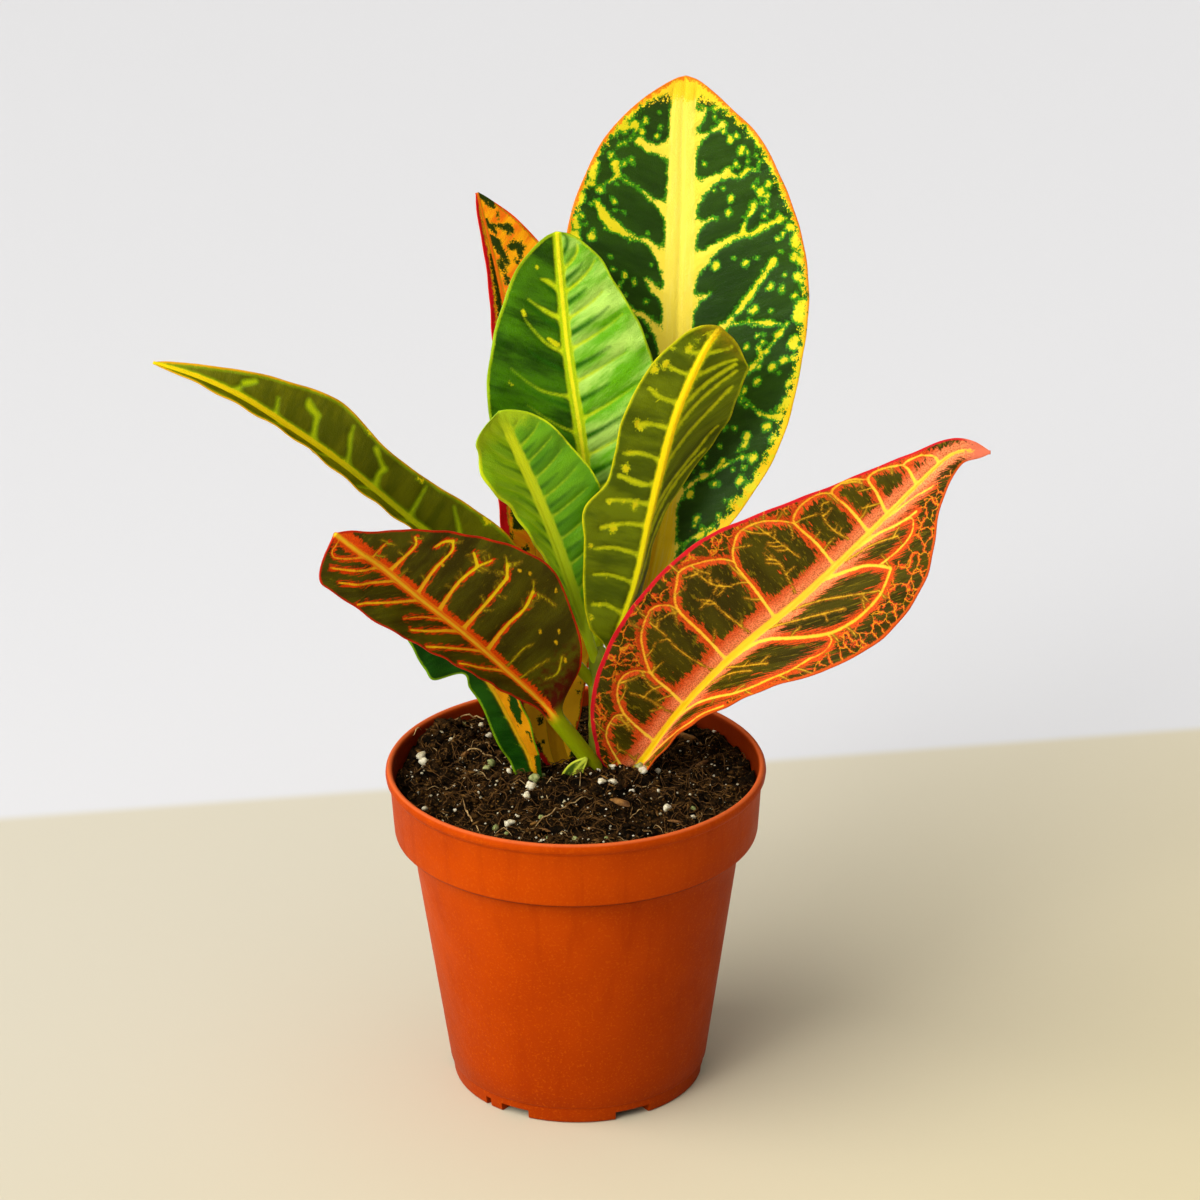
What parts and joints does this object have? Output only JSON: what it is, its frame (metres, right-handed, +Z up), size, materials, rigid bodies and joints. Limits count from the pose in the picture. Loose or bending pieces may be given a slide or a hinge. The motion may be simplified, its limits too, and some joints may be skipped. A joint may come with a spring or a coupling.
{
  "type": "potted croton plant",
  "caption": "Small croton houseplant with broad patterned leaves on a short stem, standing in soil in a thin tapered plastic nursery pot with a stepped rim.",
  "frame": {"origin": "middle of the pot's flat base, on the surface the pot stands on", "axes": "+Z up along the pot's axis, -Y the side the leaves face, +X to the right seen from that side"},
  "size_m": [0.2157, 0.1027, 0.2661],
  "materials": {
    "pot": "satin",
    "soil": "matte",
    "stem": "satin",
    "leaf_dark": "satin",
    "leaf_orange": "satin",
    "leaf_bright": "satin",
    "leaf_olive": "satin",
    "leaf_red": "satin"
  },
  "bodies": {
    "root": {"pot": "pot", "soil": "soil", "stem": "stem", "leaf_tall": "leaf_dark", "leaf_back": "leaf_orange", "leaf_mid": "leaf_bright", "leaf_small": "leaf_bright", "leaf_olive": "leaf_olive", "leaf_long": "leaf_olive", "leaf_lower": "leaf_red", "leaf_hero": "leaf_red", "leaf_low": "leaf_dark", "leaf_droop": "leaf_dark"}
  },
  "joints": []
}
